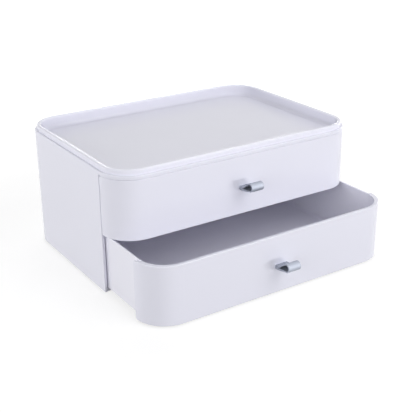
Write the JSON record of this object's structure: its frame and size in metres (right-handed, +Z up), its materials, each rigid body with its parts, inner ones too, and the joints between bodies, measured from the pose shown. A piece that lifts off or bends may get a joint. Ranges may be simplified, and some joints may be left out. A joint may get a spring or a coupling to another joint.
{
  "type": "makeup organizer",
  "caption": "Low white desktop organizer with large rounded corners, a recessed top tray and stacked full-width pull-out drawers with small metal finger pulls.",
  "frame": {"origin": "on the table plane under the four rubber feet, below the middle of the cabinet's footprint (drawers and pulls not counted)", "axes": "+X to the right seen from the front, the drawer fronts face -Y, +Z up"},
  "size_m": [0.3, 0.3011, 0.14],
  "materials": {
    "white_plastic": "smooth moulded, soft gloss",
    "satin_metal": "satin",
    "screw_steel": "zinc plated",
    "foot_rubber": "matt"
  },
  "bodies": {
    "cabinet": {"cabinet_shell": "white_plastic", "base_panel": "white_plastic", "middle_shelf": "white_plastic", "base_screws": "screw_steel", "shelf_screws": "screw_steel", "front_left_foot": "foot_rubber", "front_right_foot": "foot_rubber", "back_left_foot": "foot_rubber", "back_right_foot": "foot_rubber"},
    "lower_drawer": {"lower_drawer_box": "white_plastic", "lower_drawer_front": "white_plastic", "lower_handle": "satin_metal", "lower_handle_screws": "screw_steel"},
    "upper_drawer": {"upper_drawer_box": "white_plastic", "upper_drawer_front": "white_plastic", "upper_handle": "satin_metal", "upper_handle_screws": "screw_steel"}
  },
  "joints": [
    {"name": "lower_drawer_slide", "type": "slide", "parent": "cabinet", "child": "lower_drawer", "axis": [0, -1, 0], "range_m": [-0.0628, 0.0772]},
    {"name": "upper_drawer_slide", "type": "slide", "parent": "cabinet", "child": "upper_drawer", "axis": [0, -1, 0], "range_m": [0, 0.14]}
  ]
}
